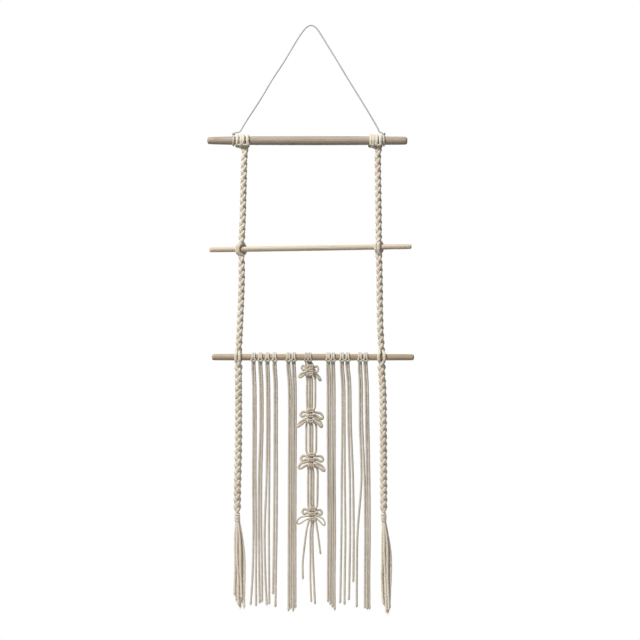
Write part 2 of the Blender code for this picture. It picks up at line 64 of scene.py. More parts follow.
# The hanging cord, from its left end on the top stick over the nail to its right end, then the x of the
# tie at each end.
HANGER_D = 2.0
HANGER_ROUTE = (
    (-114.2, 0.0, -159.9), (-110.0, 0.0, -159.7), (-106.6, 0.0, -158.2), (-104.0, 0.0, -154.4),
    (-96.0, 0.0, -141.0), (-76.5, 0.0, -111.0), (-58.5, 0.0, -81.0), (-39.0, 0.0, -51.0),
    (-21.0, 0.0, -21.0), (-11.0, 0.0, -6.5), (-5.0, 0.0, -0.6), (0.0, 0.0, 1.0), (5.0, 0.0, -0.6),
    (10.6, 0.0, -6.5), (19.8, 0.0, -21.0), (38.3, 0.0, -51.0), (56.3, 0.0, -81.0), (75.0, 0.0, -111.0),
    (93.0, 0.0, -141.0), (100.2, 0.0, -153.6), (101.8, 0.0, -157.6), (104.4, 0.0, -159.7),
    (107.2, 0.0, -159.9),
)
TIES = {"left": -116.2, "right": 109.2}
TIE_TURNS, TIE_START = 1.94, -0.47
KNOT_SIZE = 0.66

# Side cords: each lark's head on the top stick, from the left: its middle, then half the distance between
# its legs and half the length of its bar.
HEADS = {
    "left": (("outer", -107.4, 2.75, 3.1), ("inner", -98.2, 3.2, 4.3)),
    "right": (("inner", 91.8, 2.0, 2.3), ("outer", 101.3, 2.75, 3.3)),
}
# The plait's line on each side, as x and z. The fifth row from the top is just above the middle stick
# and the sixth just below it.
SIDE_ROUTE = {
    "left": (
        (-98.8, -180.0), (-99.4, -192.0), (-100.4, -206.0), (-102.6, -291.0), (-104.2, -325.0),
        (-104.4, -341.0), (-104.0, -381.0), (-106.2, -441.0), (-108.6, -487.6), (-109.4, -502.0),
        (-108.8, -520.0), (-108.8, -620.0), (-110.4, -700.0), (-110.6, -745.0),
    ),
    "right": (
        (101.4, -180.0), (100.6, -192.0), (100.2, -206.0), (101.4, -291.0), (101.4, -325.0),
        (101.5, -341.0), (102.6, -366.0), (103.6, -441.0), (105.8, -487.6), (106.0, -502.0),
        (106.0, -520.0), (108.0, -560.0), (108.8, -681.0), (108.9, -745.0),
    ),
}
SIDE_LINE = {side: [(x, 0.0, z) for x, z in route] for side, route in SIDE_ROUTE.items()}
BELOW_MIDDLE = 5
# Heights between which the plait is worked, and how many quarter turns it makes there.
PLAIT_STAGES = ((-183.0, -324.5, 26), (-342.0, -488.5, 27), (-504.0, -729.0, 43))
PLAIT_TOP, PLAIT_FOOT = -183.0, -742.4
# A strand's distance from the plait's line and how much that changes, half its width and thickness, and
# how unevenly it turns, in radians.
STRAND_REACH, STRAND_STRAY = 2.75, 1.1
STRAND_HALF_WIDTH, STRAND_HALF_THICKNESS = 2.62, 1.58
UNEVEN_TURN = 0.14
# The tail is fuller than the plait above it, from the first to the second height, and swells just below
# the bottom stick. Its neck is drawn in over the heights below, where the strands lie close and thin.
TAIL_FULLER, TAIL_WIDER = 0.16, 0.13
TAIL_GROWS = (-500.0, -520.0)
SWELLS_AT, SWELLS_OVER = -510.0, 6.5
NECK_DRAWN_IN = (-722.0, -732.0)
NECK_REACH, NECK_NARROWER, NECK_THINNER = 1.35, 1.1, 0.3
# Round a stick the plait is shut and fully open at these distances from its middle, and its strands
# are a little narrower and lie this far off the wood.
OPENS_OVER = (12.0, 2.4)
OPEN_NARROWER, OFF_WOOD = 0.1, 1.6
# Heights at which the side cords are cut into pieces, and a distance from a stick, in metres; no piece is
# bent by it.
UPPER_CUT, LOWER_CUT = -262, -415
BEND = 0.014
# How far the plait is turned on its own length, in degrees, at each height: 45 shows a V to the front.
PLAIT_FACING = {
    "left": (
        (-183, 10), (-196, 38), (-310, 38), (-325, 0), (-341, 0), (-356, 34), (-470, 36), (-488, 0),
        (-505, 0), (-522, 40), (-575, 34), (-640, 24), (-729, 24),
    ),
    "right": (
        (-183, 10), (-196, 28), (-310, 28), (-325, 0), (-341, 0), (-356, 28), (-470, 24), (-488, 0),
        (-505, 0), (-522, 28), (-600, 22), (-729, 24),
    ),
}
# Where the plait opens round a stick: x of the strands in front, then of those behind.
OPENINGS = {
    "left": {"middle": ((-111.4, -109.0), (-104.0, -98.6)), "bottom": ((-112.6, -107.0), (-112.9, -105.6))},
    "right": {"middle": ((96.8, 101.2), (99.0, 107.2)), "bottom": ((101.5, 110.0), (104.0, 107.4))},
}

# The whipping's heights and turns, then each tassel's middle x, half width and height.
NECK_TOP, NECK_FOOT = -731.4, -742.0
WHIPPING_TURNS = 4.1
TASSELS = {
    "left": (
        (-110.6, 2.4, -738.0), (-110.5, 2.8, -744.0), (-109.4, 5.2, -754.0), (-108.6, 6.8, -770.0),
        (-107.8, 8.2, -792.0), (-107.2, 9.0, -825.0), (-107.0, 9.0, -855.0), (-106.6, 8.0, -873.0),
    ),
    "right": (
        (108.9, 2.4, -738.0), (109.2, 2.7, -744.0), (110.4, 4.2, -754.0), (111.6, 5.8, -770.0),
        (112.4, 7.8, -792.0), (112.6, 8.6, -825.0), (113.4, 7.0, -855.0), (114.4, 4.8, -881.0),
    ),
}
# Each tassel strand: its place across the tassel (-1 to 1), front to back (-1 to 1), and its tip's height.
TASSEL_STRANDS = {
    "left": (
        (-0.95, 0.1, -853.0), (-0.35, -0.9, -868.0), (0.35, -0.95, -858.0), (0.98, -0.1, -872.5),
        (-0.7, 0.9, -862.0), (-0.05, 0.8, -873.0), (0.62, 0.85, -866.0), (0.05, -0.3, -865.0),
    ),
    "right": (
        (-0.95, 0.0, -866.0), (-0.3, -0.9, -879.0), (0.4, -0.9, -876.0), (0.98, 0.0, -874.0),
        (-0.65, 0.9, -870.0), (0.1, 0.85, -881.0), (0.7, 0.8, -872.0), (0.0, -0.2, -877.0),
    ),
}

# The fringe: knot x, then for each of its two strands the x at each level and at its tip, and the
# height of the tip. Each cord is cut into its knot and two strands at FRINGE_CUT.
FRINGE_CUT = -508
FRINGE_LEVELS = (-513.0, -540.0, -600.0, -680.0, -760.0, -825.0)
STRAND_SWAY = 0.7
FRINGE = (
    (
        -86.1, (-87.7, -86.8, -86.4, -86.8, -86.3, -87.8, -90.6, -868.5),
        (-84.5, -83.4, -83.0, -83.2, -82.4, -82.6, -82.4, -870.0),
    ),
    (
        -75.8, (-77.4, -76.2, -76.0, -78.2, -78.4, -77.6, -77.0, -866.0),
        (-74.2, -72.9, -72.7, -74.6, -74.6, -73.4, -73.4, -864.0),
    ),
    (
        -65.3, (-66.9, -66.0, -65.7, -66.8, -69.6, -68.4, -66.4, -869.0),
        (-63.7, -62.7, -62.4, -62.7, -63.2, -62.8, -62.6, -867.0),
    ),
    (
        -54.5, (-56.1, -54.7, -54.6, -54.9, -55.6, -56.5, -57.0, -852.0),
        (-52.9, -51.4, -51.3, -51.2, -51.7, -52.8, -53.4, -871.5),
    ),
    (
        -33.8, (-35.4, -33.3, -32.9, -33.2, -33.4, -33.6, -33.6, -877.0),
        (-32.2, -29.9, -29.6, -29.9, -30.0, -30.1, -30.2, -874.0),
    ),
    (
        -25.8, (-27.4, -26.5, -26.2, -26.5, -26.7, -26.8, -26.8, -877.5),
        (-24.2, -23.1, -22.8, -23.2, -23.4, -23.4, -23.4, -873.0),
    ),
    (
        24.0, (24.3, 25.0, 25.1, 25.5, 26.0, 25.4, 25.6, -864.0),
        (27.6, 28.3, 28.4, 28.8, 29.3, 28.7, 28.9, -868.0),
    ),
    (
        33.0, (31.4, 31.7, 32.0, 32.1, 32.6, 32.0, 32.2, -872.0),
        (34.7, 35.2, 35.4, 35.4, 35.9, 35.3, 35.5, -876.0),
    ),
    (
        46.5, (44.9, 46.7, 46.9, 46.0, 45.6, 44.6, 43.8, -865.5),
        (48.1, 50.0, 50.3, 50.6, 51.5, 50.6, 50.2, -868.0),
    ),
    (
        54.8, (53.2, 55.5, 56.2, 58.2, 58.6, 57.6, 56.8, -861.0),
        (56.5, 58.9, 59.8, 63.0, 64.0, 63.6, 63.0, -834.0),
    ),
    (
        73.5, (71.9, 73.0, 73.4, 75.6, 69.8, 68.7, 68.6, -871.5),
        (75.2, 76.4, 77.0, 80.4, 81.2, 80.8, 80.8, -873.0),
    ),
    (
        81.9, (80.3, 81.7, 82.6, 84.0, 84.7, 84.1, 84.2, -875.0),
        (83.6, 85.1, 86.1, 87.5, 88.1, 87.4, 87.6, -875.0),
    ),
)

# The centre drop. Each bow: its middle's x, then the heights of its three knots. Each of its loops: the
# x and z of its tip, half its height there, how far back it lies, and half its cord's width.
CENTRE_D = 2.5
CENTRE_HEADS = (-7.0, -1.7)
CENTRE_CUT = -748.5
# Half the width of the centre cords in their heads, and of the workers and the fillers in the knots, in
# the stretches between bows and in the free ends.
HEAD_HALF = 1.3
WORKER_HALF = {"knot": 1.6, "stretch": 1.75, "end": 1.5}
FILLER_HALF = {"knot": 1.5, "stretch": 1.85, "end": 1.6}
BOWS = (
    (-1.4, (-511.0, -516.4, -522.4), (
        (-14.0, -512.6, 3.2, 0.4, 1.7),
        (10.8, -515.2, 4.2, 0.0, 1.7),
        (-17.6, -525.4, 2.2, -2.4, 2.0),
        (14.6, -530.6, 1.3, 1.2, 2.0),
    )),
    (-0.5, (-577.0, -584.8, -592.8), (
        (-15.6, -583.0, 2.9, 0.4, 2.1),
        (17.8, -586.6, 3.4, 0.0, 2.1),
        (-20.4, -599.6, 1.7, -2.4, 2.0),
        (16.8, -599.4, 2.9, -2.2, 2.0),
    )),
    (0.8, (-643.4, -651.2, -659.2), (
        (-15.2, -648.8, 3.1, 0.4, 2.1),
        (18.0, -650.0, 3.3, 0.0, 2.1),
        (-18.4, -661.2, 3.1, -2.4, 2.1),
        (20.2, -665.6, 2.4, -2.2, 2.0),
    )),
    (2.6, (-724.8, -732.0, -739.4), (
        (-13.0, -728.4, 3.2, 0.4, 2.0),
        (16.2, -730.2, 3.2, 0.0, 2.0),
        (-20.8, -743.6, 3.9, -2.4, 1.25),
        (21.0, -746.0, 4.0, -2.2, 1.25),
    )),
)
# Workers between bows: x at the top and at the bottom, left then right; then the middle of the fillers.
STRETCHES = (
    ((-5.7, -5.7), (6.0, 6.0), (-0.4, -0.4)),
    ((-6.7, -6.8), (7.4, 7.4), (0.0, 0.0)),
    ((-4.0, -4.0), (9.6, 9.2), (1.5, 1.5)),
)
WORKER_BOW = 0.5  # how far a worker stands off sideways in the middle of a stretch
CENTRE_TAILS = {
    "outer_left": ((-6.6, -1.4, -756.0), (-9.8, -0.9, -780.0), (-12.4, -0.4, -805.0), (-12.2, 0.0, -829.5)),
    "inner_left": ((-1.0, 0.4, -760.0), (-0.8, 0.6, -790.0), (-0.9, 0.5, -830.0), (0.4, 0.3, -864.0)),
    "inner_right": ((2.3, 0.4, -760.0), (2.7, 0.6, -790.0), (4.2, 0.5, -830.0), (6.0, 0.3, -867.0)),
    "outer_right": ((9.4, -1.4, -756.0), (11.2, -0.9, -768.0), (12.8, -0.4, -780.0), (14.2, 0.0, -792.0)),
}

# -------------------------------- curves


def ease(value, low, high):
    """0 below low, 1 above high, and the cubic 3t^2 - 2t^3 in between (low may be the greater)."""
    t = np.clip((np.asarray(value, float) - low) / (high - low), 0.0, 1.0)
    return t * t * (3 - 2 * t)


def evenly(rows, step):
    """The same line with rows about `step` apart, measured along its first three columns."""
    rows = np.asarray(rows, float)
    run = np.concatenate([[0.0], np.cumsum(np.linalg.norm(np.diff(rows[:, :3], axis=0), axis=1))])
    keep = np.concatenate([[True], np.diff(run) > 1e-9])
    at = np.linspace(0.0, run[-1], max(3, int(round(run[-1] / step)) + 1))
    return np.stack([np.interp(at, run[keep], column) for column in rows[keep].T], axis=1)


def through(rows, step):
    """A smooth line through the given rows: between rows b and c, with a before and d after, it is the
    cubic that leaves b along c - a and arrives at c along d - b. Extra columns are carried with it."""
    p = np.asarray(rows, float)
    p = np.vstack([2 * p[0] - p[1], p, 2 * p[-1] - p[-2]])
    a, b, c, d = p[:-3, None], p[1:-2, None], p[2:-1, None], p[3:, None]
    pieces = 24
    t = np.linspace(0.0, 1.0, pieces, endpoint=False)[None, :, None]
    square = (2 * a - 5 * b + 4 * c - d) * t**2
    cube = (3 * b - a - 3 * c + d) * t**3
    curve = 0.5 * (2 * b + (c - a) * t + square + cube)
    return evenly(np.vstack([curve.reshape(-1, p.shape[1]), p[-2:-1]]), step)


def least_turned(points, step, wide, thick):
    """Rows of a cord along a smooth line through the points; each ring is turned as little as can be
    from the one before, so the flat side is nowhere twisted. A fourth column, where there is one,
    multiplies its width and thickness."""
    path = through(points, step)
    ahead = np.gradient(path[:, :3], axis=0)
    ahead /= np.linalg.norm(ahead, axis=1, keepdims=True)
    out = np.zeros_like(ahead)
    now = np.array([0.0, -1.0, 0.02])
    for k, along in enumerate(ahead):
        now = now - (now @ along) * along
        now = now / np.linalg.norm(now)
        out[k] = now
    share = path[:, 3] if path.shape[1] > 3 else np.ones(len(path))
    return np.column_stack([path[:, :3], out, wide * share, thick * share])


def joined(one, two):
    """A cord from the far end of one half, through the end that both share, to the other's far end."""
    return np.vstack([one[::-1], two[1:]])


# -------------------------------- cords as surfaces


# How wide the groove between two plies is, as a share of half the cord's width, then the run in mm over
# which each slow wave turns by one radian, and how much a cord swells.
GROOVE_WIDTH = 0.34
SLOW_WAVES = (5.3, 11.7, 29.0)
UNEVEN = 0.03
ROUNDED = 3.0


def laid_cord(rows, lay, groove, sides=16):
    """The surface of a soft cord laid from two plies, on a grid of (run along the cord, turn round it).

    Each ring is an ellipse square to the run, `thick` along the side that faces out and `wide` across
    it. It is pressed in by `groove` at the two sides of the line that turns once in `lay`, where the
    plies meet, and it swells and thins along the cord by the mean of three slow waves.
    Returns the rings, the run, and how deep in the groove each point is."""
    path, out, wide, thick = rows[:, :3], rows[:, 3:6], rows[:, 6:7], rows[:, 7:8]
    ahead = np.gradient(path, axis=0)
    ahead /= np.linalg.norm(ahead, axis=1, keepdims=True)
    up = out - (out * ahead).sum(axis=1, keepdims=True) * ahead
    up /= np.linalg.norm(up, axis=1, keepdims=True)
    across = np.cross(ahead, up)
    run = np.concatenate([[0.0], np.cumsum(np.linalg.norm(np.diff(path, axis=0), axis=1))])
    turn = np.arange(sides) * TURN / sides
    c, s = np.cos(turn)[None, :], np.sin(turn)[None, :]
    radius = 1 / np.sqrt((c / wide) ** 2 + (s / thick) ** 2)
    meet = np.cos(turn[None, :] - CHANCE.uniform(0, TURN) - TURN * run[:, None] / lay)
    hollow = np.exp(-((meet / GROOVE_WIDTH) ** 2))
    phase = CHANCE.uniform(0, TURN, 3)
    wave = sum(np.sin(run / length + p) for length, p in zip(SLOW_WAVES, phase)) / 3
    radius = radius * (1 - groove * hollow) * (1 + UNEVEN * wave[:, None])
    rings = path[:, None] + radius[..., None] * (c[..., None] * across[:, None] + s[..., None] * up[:, None])
    return rings, run, hollow


def part_of(skin, first, last):
    """The rings of a cord from number first to number last, both with it."""
    return tuple(column[first : last + 1] for column in skin)


def turned_round(skin):
    """The same cord told from its other end."""
    rings, run, hollow = skin
    return rings[::-1, ::-1], run[-1] - run[::-1], hollow[::-1, ::-1]


def cut_end(skin):
    """A cut end on a cord's last rings: the plies spread a little, then round off over the last
    ROUNDED mm by a quarter of a four-powered oval, and the cut is ragged from place to place round it."""
    rings, run, hollow = skin
    middle = rings.mean(axis=1, keepdims=True)
    left = (run[-1] - run)[:, None, None]
    spread = 1 + 0.15 * np.exp(-(((left - 2.6) / 1.8) ** 2))
    close = np.where(left < ROUNDED, np.clip(1 - (1 - left / ROUNDED) ** 4, 0.04, 1.0) ** 0.5, 1.0)
    ahead = middle[-1] - middle[-3]
    ahead /= np.linalg.norm(ahead)
    ragged = CHANCE.uniform(-0.6, 0.6, rings.shape[1])[None, :, None]
    rings = middle + (rings - middle) * spread * close + ragged * ahead * np.exp(-left / 0.9)
    return rings, run, hollow


def loose_fibres(skin, count=7, reach=2.0):
    """Loose fibres at a cut end: thin three-sided tapers that leave its last rings and bend outwards by
    the square of the way along them."""
    rings = skin[0]
    middle = rings.mean(axis=1)
    ahead = middle[-1] - middle[-4]
    ahead /= np.linalg.norm(ahead)
    side = np.cross(ahead, (0.0, 1.0, 0.0))
    side /= np.linalg.norm(side)
    up = np.cross(ahead, side)
    fibres = []
    for angle, away, bend, share in CHANCE.uniform((0, 0.1, -0.4, 0.4), (TURN, 0.9, 0.9, 1.0), (count, 4)):
        out = math.cos(angle) * side + math.sin(angle) * up
        t = np.linspace(0.0, 1.0, 5)[:, None]
        line = middle[-1] + out * (away + bend * t**2) + ahead * (t * share * (reach + 0.8) - 0.8)
        round_it = np.arange(3) * TURN / 3
        ring = np.cos(round_it)[:, None] * side + np.sin(round_it)[:, None] * up
        tube = line[:, None] + (0.13 * (1 - 0.7 * t))[..., None] * ring[None]
        fibres.append((tube, t[:, 0] * reach, np.zeros((5, 3))))
    return fibres


RUN_UNIT = 9.0  # the run along a cord, in mm, that is one unit of its UV map


def make_piece(name, skins, finish, body=None, stands_for=()):
    """One mesh object from grids of rings, each closed at both ends.

    A grid's faces join ring to ring, and a many-sided face closes each end. The UV map Along holds the
    turn round the cord and the run along it in RUN_UNITs; the attribute hollow the groove's depth."""
    places, corners, sizes, uvs, hollows = [], [], [], [], []
    first = 0
    for rings, run, hollow in skins:
        n, m = rings.shape[:2]
        i, j = np.arange(n - 1)[:, None], np.arange(m)[None, :]
        following = (j + 1) % m
        quads = np.stack([i * m + j, (i + 1) * m + j, (i + 1) * m + following, i * m + following], axis=-1)
        corners += [quads.ravel() + first, np.arange(m) + first, np.arange(m)[::-1] + (n - 1) * m + first]
        sizes += [np.full((n - 1) * m, 4), np.full(2, m)]
        u = np.stack([j, j, j + 1, j + 1], axis=-1) / m * np.ones((n - 1, 1, 1))
        v = np.stack([run[:-1], run[1:], run[1:], run[:-1]], axis=-1)[:, None] / RUN_UNIT * np.ones((1, m, 1))
        uvs.append(np.stack([u, v], axis=-1).reshape(-1, 2))
        uvs.append(np.stack([np.arange(m) / m, np.full(m, run[0] / RUN_UNIT)], axis=1))
        uvs.append(np.stack([np.arange(m)[::-1] / m, np.full(m, run[-1] / RUN_UNIT)], axis=1))
        places.append(rings.reshape(-1, 3) * MM)
        hollows.append(hollow.ravel())
        first += n * m
    places, corners, sizes = np.concatenate(places), np.concatenate(corners), np.concatenate(sizes)
    mesh = bpy.data.meshes.new(name)
    mesh.vertices.add(len(places))
    mesh.vertices.foreach_set("co", places.astype(np.float32).ravel())
    mesh.loops.add(len(corners))
    mesh.loops.foreach_set("vertex_index", corners.astype(np.int32))
    mesh.polygons.add(len(sizes))
    mesh.polygons.foreach_set("loop_start", (np.cumsum(sizes) - sizes).astype(np.int32))
    mesh.update(calc_edges=True)
    mesh.uv_layers.new(name="Along").data.foreach_set("uv", np.concatenate(uvs).astype(np.float32).ravel())
    groove = mesh.attributes.new("hollow", "FLOAT", "POINT")
    groove.data.foreach_set("value", np.concatenate(hollows).astype(np.float32))
    mesh.validate()
    mesh.shade_smooth()
    mesh.set_sharp_from_angle(angle=math.radians(62))
    mesh.materials.append(finish)
    piece = bpy.data.objects.new(name, mesh)
    bpy.context.scene.collection.objects.link(piece)
    if body:
        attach(piece, body)
    if stands_for:
        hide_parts(*stands_for)
    return piece


def free_cord(path):
    """Turns a cord's path, from the point where it leaves the object, into metres; nothing more is done with
    it.
    """
    path = np.asarray(path) * MM


# -------------------------------- materials


class Wire:
    """A socket of one material that takes part in sums as a number does."""

    def __init__(self, finish, socket):
        self.finish = finish
        self.socket = socket

    def _sum(self, operation, *values):
        return self.finish.node("ShaderNodeMath", {"operation": operation}, dict(enumerate(values)))

    def __add__(self, other):
        return self._sum("ADD", self, other)

    def __mul__(self, other):
        return self._sum("MULTIPLY", self, other)

    def __pow__(self, other):
        return self._sum("POWER", self, other)

    __radd__ = __add__
    __rmul__ = __mul__

    def cos(self):
        return self._sum("COSINE", self)

    def sin(self):
        return self._sum("SINE", self)

    def between(self, low, high):
        """0 at low and 1 at high, eased."""
        sockets = {"Value": self, "From Min": low, "From Max": high}
        return self.finish.node("ShaderNodeMapRange", {"interpolation_type": "SMOOTHSTEP"}, sockets)


class Finish:
    """One material, built node by node."""

    def __init__(self, name):
        self.material = bpy.data.materials.new(name)
        self.material.use_nodes = True
        self.tree = self.material.node_tree
        self.shader = self.tree.nodes["Principled BSDF"]

    def node(self, kind, settings, sockets, output=0):
        """Any node: its settings first, then the values or links of its sockets, by name or number."""
        made = self.tree.nodes.new(kind)
        for key, value in settings.items():
            setattr(made, key, value)
        for key, value in sockets.items():
            self.put(made.inputs[key], value)
        return Wire(self, made.outputs[output])

    def put(self, socket, value):
        if isinstance(value, Wire):
            self.tree.links.new(value.socket, socket)
        else:
            socket.default_value = value

    def place(self):
        """Object coordinates."""
        return self.node("ShaderNodeTexCoord", {}, {}, "Object")

    def parts(self, vector):
        """The x, y and z of a vector."""
        first = self.node("ShaderNodeSeparateXYZ", {}, {0: vector})
        return [Wire(self, output) for output in first.socket.node.outputs]

    def noise(self, x, y, z, detail=3.0, roughness=0.5):
        """Noise at a place given by its three parts, one lump to a unit."""
        vector = self.node("ShaderNodeCombineXYZ", {}, {0: x, 1: y, 2: z})
        sockets = {"Vector": vector, "Scale": 1.0, "Detail": detail, "Roughness": roughness}
        return self.node("ShaderNodeTexNoise", {}, sockets)

    def mix(self, share, one, two):
        """Colour one at share 0, colour two at share 1."""
        colours = [c if isinstance(c, Wire) else (*c, 1.0) for c in (one, two)]
        return self.node("ShaderNodeMix", {"data_type": "RGBA"}, {0: share, 6: colours[0], 7: colours[1]}, 2)

    def bump(self, height, depth, under=None):
        """Relief of that depth in metres, on top of another."""
        sockets = {"Height": height, "Distance": depth, "Strength": 1.0}
        if under:
            sockets["Normal"] = under
        return self.node("ShaderNodeBump", {}, sockets)

    def done(self, sockets):
        """Sets the shader's sockets by name and gives the material."""
        for key, value in sockets.items():
            self.put(self.shader.inputs[key], value)
        return self.material


def cotton(name, pale, deep, shadow):
    """Soft cotton: fibres about 0.3 mm wide that run along the cord at a slant of 1.1 turns in a RUN_UNIT,
    fuller and thinner strands of them, faint yellowing from place to place, and painted shade along
    the groove where the plies meet."""
    f = Finish(name)
    u, v, _ = f.parts(f.node("ShaderNodeUVMap", {"uv_map": "Along"}, {}))
    slant = 1.1
    angle = (u + v * slant) * TURN
    fibres = f.noise(angle.cos() * 6.5, angle.sin() * 6.5, v * 3.4, 3.0, 0.6)
    strands = f.noise(angle.cos() * 1.9, angle.sin() * 1.9, v * 0.8, 2.0)
    x, y, z = f.parts(f.place())
    patches = f.noise(x * 38.0, y * 38.0, z * 22.0, 2.0)
    groove = f.node("ShaderNodeAttribute", {"attribute_name": "hollow"}, {}, "Fac")
    colour = f.mix(patches.between(0.36, 0.66), pale, deep)
    colour = f.mix(strands.between(0.60, 0.34) * 0.12, colour, shadow)
    colour = f.mix(fibres.between(0.56, 0.32) * 0.16, colour, shadow)
    # painted shade: the colour goes towards the shadow colour where the groove between the plies is deep
    colour = f.mix(groove * 0.14, colour, shadow)
    relief = f.bump(fibres, 0.00012, f.bump(strands, 0.0003))
    return f.done(
        {
            "Base Color": colour,
            "Roughness": fibres * 0.15 + 0.82,
            "Normal": relief,
            "Sheen Weight": 0.2,
            "Sheen Roughness": 0.5,
            "Specular IOR Level": 0.15,
        }
    )


def wood(name, pale, deep, line, grey, ring=0.0021, worn=0.3):
    """Bare wood cut lengthwise. The growth rings are shells about a line outside the stick, bent by
    noise drawn out along the grain; dark pores run with them, and handling greys it in patches."""
    f = Finish(name)
    x, y, z = f.parts(f.place())
    sway = f.noise(x * 7.0, y * 50.0, z * 50.0)
    out_y, out_z = y + 0.024 + sway * 0.010, z * 0.8 + sway * 0.006
    shell = (out_y * out_y + out_z * out_z) ** 0.5
    rings = (shell * (TURN / ring)).sin() * 0.5 + 0.5
    pores = f.noise(x * 26.0, y * 1100.0, z * 1100.0, 3.0, 0.62)
    streaks = f.noise(x * 4.0, y * 240.0, z * 240.0, 3.0)
    patches = f.noise(x * 11.0, y * 60.0, z * 60.0, 2.0)
    colour = f.mix(rings.between(0.35, 1.0) * 0.6, pale, deep)
    colour = f.mix(streaks.between(0.46, 0.68) * 0.55, colour, deep)
    colour = f.mix(pores.between(0.54, 0.68) * 0.6, colour, line)
    colour = f.mix(patches.between(0.48, 0.72) * worn, colour, grey)
    relief = f.bump(pores, 0.0001, f.bump(rings, 0.00012))
    return f.done(
        {
            "Base Color": colour,
            "Roughness": pores * 0.25 + 0.36,
            "Normal": relief,
            "Specular IOR Level": 0.45,
        }
    )


# The knots' cotton is a lighter copy of the fringe strands' cotton, though knot and strands are one cord:
# painted light on the knots at the stick.
LIT_KNOT_COTTON = cotton("fringe_knot_painted_lit_cotton", (0.77, 0.705, 0.60), (0.71, 0.64, 0.53), (0.40, 0.335, 0.26))
SIDE_COTTON = cotton("side_cord_cotton", (0.86, 0.79, 0.67), (0.80, 0.72, 0.58), (0.46, 0.37, 0.27))
FRINGE_COTTON = cotton("fringe_cotton", (0.70, 0.635, 0.54), (0.64, 0.57, 0.47), (0.38, 0.32, 0.25))
CENTRE_COTTON = cotton("centre_cotton", (0.70, 0.625, 0.51), (0.62, 0.54, 0.42), (0.36, 0.29, 0.21))
HANGER_COTTON = cotton("hanging_cord_cotton", (0.66, 0.645, 0.61), (0.60, 0.58, 0.53), (0.34, 0.315, 0.28))
TOP_WOOD = wood(
    "greyish_brown_wood",
    pale=(0.50, 0.41, 0.325),
    deep=(0.37, 0.29, 0.215),
    line=(0.18, 0.135, 0.10),
    grey=(0.39, 0.35, 0.31),
)
MIDDLE_WOOD = wood(
    "pale_wood",
    pale=(0.74, 0.64, 0.49),
    deep=(0.62, 0.50, 0.355),
    line=(0.38, 0.28, 0.19),
    grey=(0.60, 0.545, 0.46),
    ring=0.0016,
    worn=0.15,
)
BOTTOM_WOOD = wood(
    "tan_wood",
    pale=(0.54, 0.43, 0.29),
    deep=(0.39, 0.29, 0.185),
    line=(0.19, 0.13, 0.08),
    grey=(0.40, 0.34, 0.27),
    ring=0.0018,
    worn=0.2,
)

# -------------------------------- camera, light and floor


def look_from_the_front():
    """A long lens square to the hanging, 3 m off, that takes in 0.96 m at its distance."""
    camera = bpy.data.objects.new("front_camera", bpy.data.cameras.new("front_camera"))
    camera.data.lens = 112.5
    camera.data.sensor_width = 36.0
    camera.data.clip_end = 30.0
    camera.location = (0.0135, -3.0, -0.441)
    camera.rotation_euler = (math.radians(90), 0.0, 0.0)
    bpy.context.scene.collection.objects.link(camera)
    bpy.context.scene.camera = camera


def soft_light(name, place, size, watts):
    """A square lamp of that size that faces the middle of the hanging."""
    lamp = bpy.data.objects.new(name, bpy.data.lights.new(name, "AREA"))
    lamp.data.size = size
    lamp.data.energy = watts
    lamp.location = place
    lamp.rotation_euler = (Vector((0.0, 0.0, -0.45)) - Vector(place)).to_track_quat("-Z", "Y").to_euler()
    bpy.context.scene.collection.objects.link(lamp)


def studio():
    """A white surround that lights softly, a lamp high on the left, weak ones overhead and low on
    the right, one behind, and a pale round floor with a rounded edge."""
    scene = bpy.context.scene
    scene.view_settings.view_transform = "Standard"
    scene.world = bpy.data.worlds.new("white_surround")
    scene.world.use_nodes = True
    tree = scene.world.node_tree
    glow = tree.nodes["Background"]
    glow.inputs["Color"].default_value = (1.0, 1.0, 1.0, 1.0)
    seen = tree.nodes.new("ShaderNodeLightPath")
    level = tree.nodes.new("ShaderNodeMapRange")
    level.inputs["To Min"].default_value = 0.18
    level.inputs["To Max"].default_value = 1.0
    tree.links.new(seen.outputs["Is Camera Ray"], level.inputs["Value"])
    tree.links.new(level.outputs["Result"], glow.inputs["Strength"])
    soft_light("high_left_lamp", (-1.75, -1.7, 1.85), 0.7, 112.0)
    soft_light("low_right_lamp", (1.8, -2.4, -0.6), 1.6, 4.0)
    soft_light("overhead_lamp", (-0.4, -0.9, 2.7), 0.6, 16.0)
    soft_light("rear_lamp", (1.2, 2.6, 1.0), 1.6, 34.0)
    turn = np.arange(96) * TURN / 96
    profile = ((0.01, -1020.0), (230.0, -1020.0), (456.0, -1020.0), (459.0, -1021.0), (460.0, -1024.0))
    rings = [np.stack([r * np.cos(turn), r * np.sin(turn), 0 * turn + z], axis=1) for r, z in profile]
    pale = Finish("pale_floor").done({"Base Color": (0.82, 0.81, 0.79, 1.0), "Roughness": 0.8})
    skin = (np.array(rings), np.arange(5.0), np.zeros((5, 96)))
    make_piece("pale_floor", [skin], pale)


# -------------------------------- sticks


